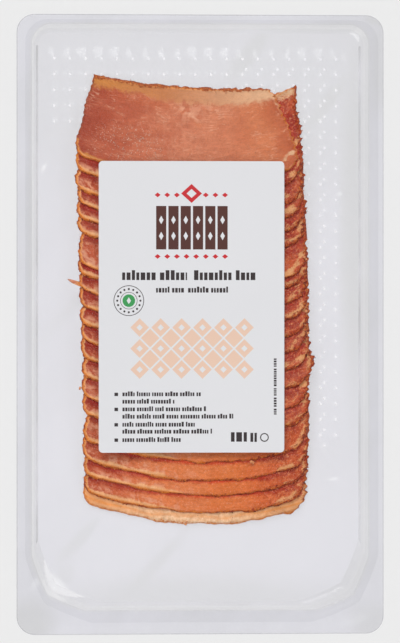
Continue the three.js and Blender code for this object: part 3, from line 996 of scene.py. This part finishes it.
def slice_fields(g):
    """What the pork material reads: distances in millimetres to rims, fat and crust, how far a place
    lies out of the shade painted beside the slice above, and shares of a few tints."""
    k, x, y, s, up = (g[name] for name in ("k", "x", "y", "s", "up"))
    low_left = soft_min(up, g["inner_left"], CORNER_BLEND)
    low_right = soft_min(up, g["right"], CORNER_BLEND)
    rim = np.minimum(low_left, g["right"])
    if k < 2:
        rim = np.minimum(rim, g["down"])
    bare = bare_reach(g)
    # Width of the painted shade beside the slice above: wider at both ends, narrower on slices 13 to 18
    painted_shade_width = 1.7 + 1.3 * (1 - smooth(s, 0.2, 0.4)) + 2.6 * smooth(s, 0.72, 0.9)
    cover = bare / painted_shade_width * (1 + 0.7 * float(smooth(k, 13, 18)))
    slow = noise(x, y, 5.0, 120 + k)
    wide = noise(x, y + 17.0 * k, 9.0, 6)

    # Fat follows the lower edge on the left, and lies in lobes at the right end
    fade = 1 - smooth(s + 0.05 * wide, 0.34, 0.56)
    fat = (1.75 + 0.45 * slow) * fade - 2.0 * (1 - fade)
    fat = fat - soft_min(up, 1.7 * g["inner_left"], CORNER_BLEND)
    lobes = 2.4 + 1.6 * noise(x, y + 31.0 * k, 6.0, 7) - low_right
    lobes = np.minimum(lobes, 1.4 * noise(x, y, 1.9, 200 + k, 3) - 0.05)
    fat = np.maximum(fat, lobes - 9 * (1 - smooth(s + 0.04 * wide, 0.82, 0.88)))

    # Crust grows towards the right end, with a thin line at the left one
    crust = (0.3 + 0.7 * smooth(s, 0.8, 0.97)) * smooth(s, 0.5, 0.66) - low_right + 0.3 * slow
    crust = np.maximum(crust, 0.6 + 0.6 * slow - g["right"])
    crust = np.maximum(crust, 0.05 + 0.3 * slow - g["inner_left"])
    pale = (0.1 + 0.4 * smooth(low_left, 0.7, 1.5)) * (1 - 0.4 * smooth(s, 0.6, 0.8))
    rust = 0.1 + 0.35 * smooth(s, 0.6, 0.9)
    # sheen: where a painted sheen lies, on the left of each strip away from the slice above
    sheen = 0.75 * (1 - smooth(s, 0.3, 0.6)) * smooth(bare, 1.4, 3.2)
    if k == 1:
        fat = np.where(y > SECOND_FAT_FROM, 0.45 * (1.7 + slow - g["down"]), fat)
        pale = np.where(y > SECOND_FAT_FROM, 0.9, pale)
        # The second slice's painted shade is widened below y = 78
        cover = cover * lerp(0.6, 1, smooth(y, 72, 78))
    if k == LAST:
        fat = np.maximum(fat, LAST_FAT + 0.4 * slow - up)
        crust = 0.1 + 0.3 * slow - g["right"]
        pale = 0.35 + 0.65 * hump(s, 0.5, 0.45) - 0.5 * hump(up, 2.6 + 0.6 * wide, 0.7)
    fields = {"rim": rim, "bare": bare, "cover": cover, "fat": fat, "crust": crust, "pale": pale,
              "across": s, "rust": rust, "sparkle": 0.2 + 0 * s, "sheen": sheen,
              "first": float(k == 0) + 0 * s, "bowed": y - 0.8 * bow(x), "seed": 13.7 * k + 0 * s}
    if k == 0:
        fields.update(top_slice_fields(g, fields, slow))
    return fields


def make_slice(k, material):
    """One slice as a closed skin: a top and an underside, joined along their border."""
    g = slice_shape(k)
    fields = slice_fields(g)
    x, y = g["x"], g["y"]
    base = underside(k, x, y)
    edge = np.minimum(np.minimum(g["up"], g["down"]), np.minimum(g["left"], g["right"]))
    t = np.clip(edge / EDGE_R, 0, 1)
    half = SLICE_THICK / 2 * lerp(EDGE_THICK_SHARE, 1, np.sqrt(1 - (1 - t) ** 2))
    droop = EDGE_DROOP * (1 - t) ** 1.5
    open_air = smooth(fields["bare"], 0.2, 1.2)
    crusty = smooth(fields["crust"], -0.3, 0.6)
    relief = MEAT_RELIEF * noise(x, y, 2.2, 300 + k)
    relief = relief + CRUST_RELIEF * crusty * noise(x, y, 0.9, 330 + k, 2)
    lift = EDGE_LIFT * np.exp(-g["up"] / 2.0) * (0.6 + 0.6 * noise(x, y, 8, 360 + k))
    roll = FAT_ROLL * np.exp(-(((fields["rim"] - 1.1) / 0.7) ** 2))
    roll = roll * smooth(fields["fat"], -0.6, 0.4)
    middle = np.maximum(base + SLICE_THICK / 2 - droop, WALL + FLOOR_CLEARANCE)
    top = middle + half + (relief + lift + roll) * open_air * t
    bottom = middle - half + lift * open_air
    rows, columns = x.shape
    layer = rows * columns
    points = np.vstack([as_points(x, y, top), as_points(x, y, bottom)])
    faces = grid_faces(rows, columns) + grid_faces(rows, columns, layer, True)
    border = list(range(columns))
    border += [r * columns + columns - 1 for r in range(1, rows)]
    border += [(rows - 1) * columns + c for c in range(columns - 2, -1, -1)]
    border += [r * columns for r in range(rows - 2, 0, -1)]
    for a, b in zip(border, border[1:] + border[:1]):
        faces.append((b, a, a + layer, b + layer))
    both = {name: np.concatenate([np.ravel(v), np.ravel(v)]) for name, v in fields.items()}
    piece = mesh_object(f"pork_slice_{k + 1:02d}", points, faces, [material], None, both)
    return piece, g, fields, top


# ---- Label ----

LABEL_CORNER_R = 1.4
PAPER, BROWN, RED, PEACH, INK, GREEN = range(6)
BADGE = (128.7, 300.7)
BADGE_RINGS = ((15.3, INK), (14.6, PAPER), (8.6, INK), (8.1, PAPER), (6.3, GREEN))
# Rows of small blocks, in pixels of the photograph: how far down each is, and where it ends
BLOCK_ROWS = (
    (394.3, 201.7), (401.7, 174.3), (409.3, 207), (416.7, 233.3), (424.7, 194.7),
    (431.7, 212.3), (440, 183),
)


def oblong(x0, y0, x1, y1):
    """A rectangle between two pixels of the photograph."""
    left, top = from_pixel(x0, y0)
    right, bottom = from_pixel(x1, y1)
    return [(left, bottom), (right, bottom), (right, top), (left, top)]


def lozenge(px, py, half_x, half_y):
    x, y = from_pixel(px, py)
    a, b = half_x * MM_PER_PIXEL, half_y * MM_PER_PIXEL
    return [(x, y - b), (x + a, y), (x, y + b), (x - a, y)]


def disc(px, py, radius, sides=40):
    x, y = from_pixel(px, py)
    turns = np.arange(sides) * 2 * math.pi / sides
    r = radius * MM_PER_PIXEL
    return np.column_stack([x + r * np.cos(turns), y + r * np.sin(turns)]).tolist()


def block_row(x0, x1, y, height, draw, group_size):
    """A row of small upright blocks in groups, from one pixel of the photograph to another."""
    shapes, x, group = [], x0, 0
    foot = y + height / 2
    while x < x1 - 1.2:
        width = draw.uniform(1.5, 2.5) * height / 4
        rise = height * (1.0 if draw.uniform() < 0.75 else 1.3)
        shapes.append((INK, oblong(x, foot - rise, min(x + width, x1), foot)))
        x += width + 0.7 * height / 4
        group += 1
        if group >= group_size:
            group = 0
            group_size = int(draw.integers(4, 9))
            x += 1.6 * height / 4
    return shapes


def print_shapes():
    """The label's ornaments as plain shapes, each with its ink, later ones on top."""
    draw = np.random.default_rng(11)
    shapes = []
    # A frieze: dark upright tablets with a small lozenge in each, between rows of red lozenges
    for n in range(6):
        x0 = 156 + 12.3 * n
        shapes.append((BROWN, oblong(x0, 206, x0 + 10.2, 249.5)))
        shapes.append((PAPER, lozenge(x0 + 5.1, 220, 2.3, 4.2)))
        shapes.append((PAPER, lozenge(x0 + 5.1, 236, 2.3, 4.2)))
    for n in range(8):
        if n not in (3, 4):
            shapes.append((RED, lozenge(157.5 + 9.65 * n, 195, 3.0, 2.4)))
        shapes.append((RED, lozenge(157.5 + 9.65 * n, 256.5, 3.0, 2.4)))
    shapes.append((RED, lozenge(191.5, 193.5, 10.5, 9.5)))
    shapes.append((PAPER, lozenge(191.5, 193.5, 5.0, 4.5)))
    # Two rows of upright blocks
    shapes += block_row(122, 187, 276.3, 7.6, draw, 7)
    shapes += block_row(194, 261, 276.3, 7.6, draw, 8)
    shapes += block_row(156, 184, 290.3, 4.6, draw, 5)
    shapes += block_row(188, 228, 290.3, 4.6, draw, 7)
    # A round badge
    for radius, ink in BADGE_RINGS:
        shapes.append((ink, disc(*BADGE, radius)))
    for n in range(16):
        turn = math.radians(22.5 * n)
        x, y = BADGE[0] + 11.6 * math.cos(turn), BADGE[1] + 11.6 * math.sin(turn)
        shapes.append((INK, disc(x, y, 1.1, 10)))
    shapes.append((PAPER, lozenge(*BADGE, 2.2, 3.4)))
    # A plain ornament of peach lozenges
    for row, (count, y) in enumerate(((6, 327.5), (5, 338), (6, 348.5), (5, 359), (6, 369.5))):
        for n in range(count):
            x = 192 + (n - (count - 1) / 2) * 21
            shapes.append((PEACH, lozenge(x, y, 9.3, 9.3)))
            if row % 2 == 0:
                shapes.append((PAPER, lozenge(x, y, 3.2, 3.2)))
    # Square bullets, each with its rows of small blocks
    for y in (394.3, 409.3, 424.7, 440):
        shapes.append((INK, oblong(114.3, y - 1.7, 117.9, y + 1.7)))
    for y, x1 in BLOCK_ROWS:
        shapes += block_row(122.3, x1, y, 3.7, draw, 5)
    # Larger blocks with a ring beside them, and an upright row at the right
    shapes += block_row(231, 247, 437, 9.5, draw, 3)
    shapes += block_row(250.5, 257, 438.5, 7.0, draw, 2)
    shapes.append((INK, disc(264.6, 437.5, 4.4)))
    shapes.append((PAPER, disc(264.6, 437.5, 3.3)))
    y = 358.5
    while y < 416:
        tall = draw.uniform(1.2, 2.0)
        shapes.append((INK, oblong(274, y, 276.8, min(y + tall, 417))))
        y += tall + (1.9 if draw.uniform() < 0.2 else 0.65)
    return shapes


def make_label(materials):
    box = (LABEL_LOW[0], LABEL_HIGH[0], LABEL_LOW[1], LABEL_HIGH[1])
    outline = rounded_outline(box, LABEL_CORNER_R, LABEL_CORNER_R, 0.0, 8, (6, 9))
    shapes = print_shapes()
    flat, faces, owners = inlaid(outline, [shape for _, shape in shapes])
    inks = [PAPER] + [ink for ink, _ in shapes]
    slots = [inks[owner] for owner in owners]
    points = [at_height(flat, LABEL_HIGH[2])]
    faces = [tuple(f) for f in faces]
    first = len(flat)
    count = len(outline)
    for z in (LABEL_HIGH[2], LABEL_LOW[2]):
        points.append(at_height(outline, z))
    for i in range(count):
        j = (i + 1) % count
        faces.append((first + i, first + count + i, first + count + j, first + j))
        slots.append(PAPER)
    faces.append(tuple(range(first + count, first + 2 * count))[::-1])
    slots.append(PAPER)
    label = mesh_object("paper_label", np.vstack(points), faces, materials, slots)
    weld(label)
    label.data.shade_flat()
    return label


# ---- Grains and crumbs ----


def scatter(name, places, sizes, draw, material):
    """Small uneven grains, joined into one piece: at each place a crumpled icosahedron."""
    golden = (1 + 5**0.5) / 2
    corners = []
    for a, b in ((1, golden), (1, -golden), (-1, golden), (-1, -golden)):
        corners += [(0, a, b), (a, b, 0), (b, 0, a)]
    corners = np.array(corners, float) / math.hypot(1, golden)
    apart = np.linalg.norm(corners[:, None] - corners, axis=2)
    near = apart < apart[apart > 0].min() * 1.01
    shell = []
    for i, j, m in itertools.combinations(range(12), 3):
        if near[i, j] and near[i, m] and near[j, m]:
            outwards = np.linalg.det(corners[[i, j, m]]) > 0
            shell.append((i, j, m) if outwards else (i, m, j))
    points, faces = [], []
    for n, (place, size) in enumerate(zip(places, sizes)):
        form = corners * draw.uniform(0.75, 1.2, (12, 1)) * size / 2
        form *= draw.uniform((0.7, 0.7, 0.45), (1.3, 1.0, 0.8))
        turn = draw.uniform(0, math.pi)
        c, s = math.cos(turn), math.sin(turn)
        form[:, :2] = form[:, :2] @ np.array([[c, s], [-s, c]])
        points.append(form + np.array(place))
        faces += [tuple(v + 12 * n for v in f) for f in shell]
    return mesh_object(name, np.vstack(points), faces, [material])


def pick_places(shapes, weight, count, draw):
    """Places on the slices' bare surface, where weight says how likely each grid point is."""
    spots, chances = [], []
    for g, fields, top in shapes:
        chance = weight(g, fields) * (fields["bare"] > 0.35)
        x_gap, y_gap = np.gradient(g["x"], axis=1), np.gradient(g["y"], axis=0)
        chance = np.clip(chance * np.abs(x_gap * y_gap), 0, None)
        spots.append(as_points(g["x"], g["y"], top))
        chances.append(chance.ravel())
    spots, chances = np.vstack(spots), np.concatenate(chances)
    chosen = draw.choice(len(spots), count, replace=False, p=chances / chances.sum())
    places = spots[chosen]
    places[:, :2] += draw.uniform(-0.25, 0.25, (count, 2))
    return places


# ---- The pieces ----


def keep_in_frame(piece, slot, *nodes):
    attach(piece, "root")
    if nodes:
        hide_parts(*nodes)


# The sheet's regions: dark and light veil, opacity, roughness, painted marks, and painted shade to the
# right
SHEET = {
    "floor": ((166, 162, 196), (190, 186, 218), 0.10, 0.12, FLOOR_PAINTED_LIGHT),
    # stud: near white, a painted highlight on each stud
    "stud": ((240, 240, 250), (255, 255, 255), 0.2, 0.2),
    "fillet": ((140, 137, 160), (190, 187, 210), 0.13, 0.1),
    # A painted dark line at the foot of the wall
    "crease": ((10, 9, 12), (196, 194, 206), 0.33, 0.1, (), -0.1),
    "wall": ((120, 118, 138), (190, 188, 206), 0.16, 0.1),
    # gleam: a painted highlight on two corners
    "gleam": ((250, 250, 255), (255, 255, 255), 0.24, 0.1),
    "edge": ((90, 88, 106), (180, 179, 196), 0.2, 0.1),
    "seal": ((106, 104, 132), (176, 174, 204), 0.2, 0.25, FLANGE_PAINTED_LIGHT),
    "margin": ((146, 144, 172), (204, 202, 226), 0.16, 0.2, FLANGE_PAINTED_LIGHT),
    "lip": ((66, 65, 78), (130, 129, 146), 0.38, 0.15, (), -0.5),
    "under": ((110, 108, 146), (128, 126, 164), 0.12, 0.2),
    "outer_wall": ((130, 128, 150), (176, 174, 196), 0.12, 0.1),
}
tray = make_tray({
    region: plastic_material(f"tray_{region}", *look) for region, look in SHEET.items()
})
tray.visible_shadow = False
keep_in_frame(tray, "clear_tray", "tray")

film = make_film(plastic_material("clear_film", (206, 206, 214), (232, 232, 238), 0.006, 0.08))
film.visible_shadow = False
keep_in_frame(film, "clear_film", "film")

pork = pork_material()
shapes = []
for k in range(SLICE_COUNT):
    piece, g, fields, top = make_slice(k, pork)
    keep_in_frame(piece, "dried_pork", f"slice_{k + 1:02d}")
    shapes.append((g, fields, top))

# The paper and the inks, in the order of their numbers
PRINT = {
    "label_paper": (220, 220, 223), "print_brown": (82, 46, 40), "print_red": (196, 40, 48),
    "print_peach": (228, 195, 174), "print_ink": (52, 44, 46), "print_green": (60, 150, 84),
}
label = make_label([paper_material(name, colour) for name, colour in PRINT.items()])
keep_in_frame(label, "label_paper", "label")

spice_draw = np.random.default_rng(23)


def on_crust(g, fields):
    return smooth(fields["crust"], -0.5, 0.4) * (1.0 if g["k"] < LAST else 0.15)


def on_fat(g, fields):
    rate = 0.02 + (0.05 if g["k"] == LAST else 0)
    return rate * smooth(fields["fat"], 0, 0.5) + 0.01


# Name, place, number, least and greatest width, dark and light colour
GRAINS = [
    ("pepper_grains", on_crust, 520, 0.2, 0.42, (60, 22, 15), (120, 44, 26)),
    ("paprika_grains", on_crust, 760, 0.22, 0.5, (160, 52, 22), (214, 104, 40)),
    ("mustard_grains", on_crust, 220, 0.22, 0.42, (206, 128, 60), (228, 166, 100)),
    ("pepper_flecks", on_fat, 90, 0.18, 0.36, (80, 40, 28), (130, 66, 42)),
]
for name, weight, count, low, high, dark, light in GRAINS:
    places = pick_places(shapes, weight, count, spice_draw)
    sizes = spice_draw.uniform(low, high, count)
    piece = scatter(name, places, sizes, spice_draw, grain_material(name, dark, light, GRAIN_ROUGHNESS))
    keep_in_frame(piece, "dried_pork")

CRUMB_REACH = 1.6
CRUMB_LIFT = 0.1
# Loose crumbs, at pixels of the photograph, with their widths
CRUMBS = [
    (80, 388, 1.2), (305, 257, 1.5), (307, 259, 0.9), (307, 311, 1.4), (308, 314, 0.8),
    (187, 525, 1.3), (188.5, 523, 1.0), (252, 462, 1.7), (254, 463, 1.1), (309, 333, 1.0),
]
spots = np.vstack([as_points(g["x"], g["y"], top) for g, _, top in shapes])
places = []
for px, py, _ in CRUMBS:
    spot = from_pixel(px, py)
    nearest = np.hypot(spots[:, 0] - spot[0], spots[:, 1] - spot[1]) < CRUMB_REACH
    places.append((*spot, spots[nearest, 2].max() + CRUMB_LIFT))
crumb = grain_material("meat_crumbs", (198, 104, 54), (232, 172, 120), CRUMB_ROUGHNESS)
widths = [width for _, _, width in CRUMBS]
crumbs = scatter("meat_crumbs", places, widths, spice_draw, crumb)
keep_in_frame(crumbs, "dried_pork")

# ---- Stage, light and camera ----

STAGE_GREY = 235
STAGE_GLOW = 0.82
STAGE_HALF = 3000.0
STAGE_Z = -0.15
SKY_LIGHT = 0.36
SENSOR = 24
CLIP_END_M = 20
# Far lamps: name, azimuth and elevation in degrees, share of full white, and spread in degrees
SUNS = [("key", 108, 54, 0.36, 24), ("fill", 235, 58, 0.14, 50), ("side", 350, 50, 0.07, 40)]
# Square lamps for highlights, aimed at the origin: name, place, size and radiance
PANELS = [
    ("glint_right", (380, 420, 700), 160, 9),
    ("glint_left", (-380, -420, 700), 160, 9),
]


def make_stage():
    """A plain pale ground that glows, as a light table does, so that shadows stay faint."""
    corners = [(-1, -1), (1, -1), (1, 1), (-1, 1)]
    points = [(x * STAGE_HALF, y * STAGE_HALF, STAGE_Z) for x, y in corners]
    shade = Shade("stage", Roughness=0.9, Specular_IOR_Level=0.0)
    level = srgb(STAGE_GREY, STAGE_GREY, STAGE_GREY)[0]
    glow = (level * STAGE_GLOW,) * 3 + (1,)
    rest = (level * (1 - STAGE_GLOW),) * 3 + (1,)
    shade.set("Base Color", rest)
    shade.set("Emission Color", glow)
    shade.set("Emission Strength", 1.0)
    stage = mesh_object("stage", points, [(0, 1, 2, 3)], [shade.material])
    stage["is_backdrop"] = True


def add_sun(name, azimuth, elevation, share, spread):
    """A soft far lamp. azimuth is where it stands, from +X towards +Y, and share is the part of
    full white that a white sheet lying flat gets from it."""
    lamp = bpy.data.lights.new(name, "SUN")
    lamp.energy = math.pi * share / math.sin(math.radians(elevation))
    lamp.angle = math.radians(spread)
    sun = new_object(name, lamp)
    a, e = math.radians(azimuth), math.radians(elevation)
    towards = Vector((math.cos(e) * math.cos(a), math.cos(e) * math.sin(a), math.sin(e)))
    sun.rotation_euler = towards.to_track_quat("Z", "Y").to_euler()


def add_panel(name, place, size, radiance):
    """A square lamp that faces the origin."""
    lamp = bpy.data.lights.new(name, "AREA")
    lamp.size = size * MM
    lamp.energy = radiance * math.pi * (size * MM) ** 2
    panel = new_object(name, lamp)
    panel.location = Vector(place) * MM
    panel.rotation_euler = Vector(place).to_track_quat("Z", "Y").to_euler()


def make_light():
    world = bpy.data.worlds.new("studio")
    world.use_nodes = True
    background = world.node_tree.nodes["Background"]
    background.inputs["Color"].default_value = (1, 1, 1, 1)
    background.inputs["Strength"].default_value = SKY_LIGHT
    bpy.context.scene.world = world
    for sun in SUNS:
        add_sun(*sun)
    for panel in PANELS:
        add_panel(*panel)


def make_camera():
    lens = bpy.data.cameras.new("view")
    lens.sensor_fit = "VERTICAL"
    lens.sensor_height = SENSOR
    lens.lens = SENSOR * VIEW_DISTANCE / (PHOTO_HEIGHT * MM_PER_PIXEL)
    lens.clip_end = CLIP_END_M
    x, y = from_pixel(*VIEW_PIXEL)
    target = Vector((x, y, FILM_TOP))
    away = Vector((-math.sin(VIEW_TILT), 0, math.cos(VIEW_TILT)))
    camera = new_object("view", lens)
    camera.location = (target + away * VIEW_DISTANCE) * MM
    camera.rotation_euler = (0, -VIEW_TILT, 0)
    bpy.context.scene.camera = camera


make_stage()
make_light()
make_camera()
bpy.context.scene.view_settings.view_transform = "Standard"


def plain(bounds):
    return [[float(v) for v in corner] for corner in bounds]


{"cad": plain(cad_bounds), "visual": plain(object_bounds())}
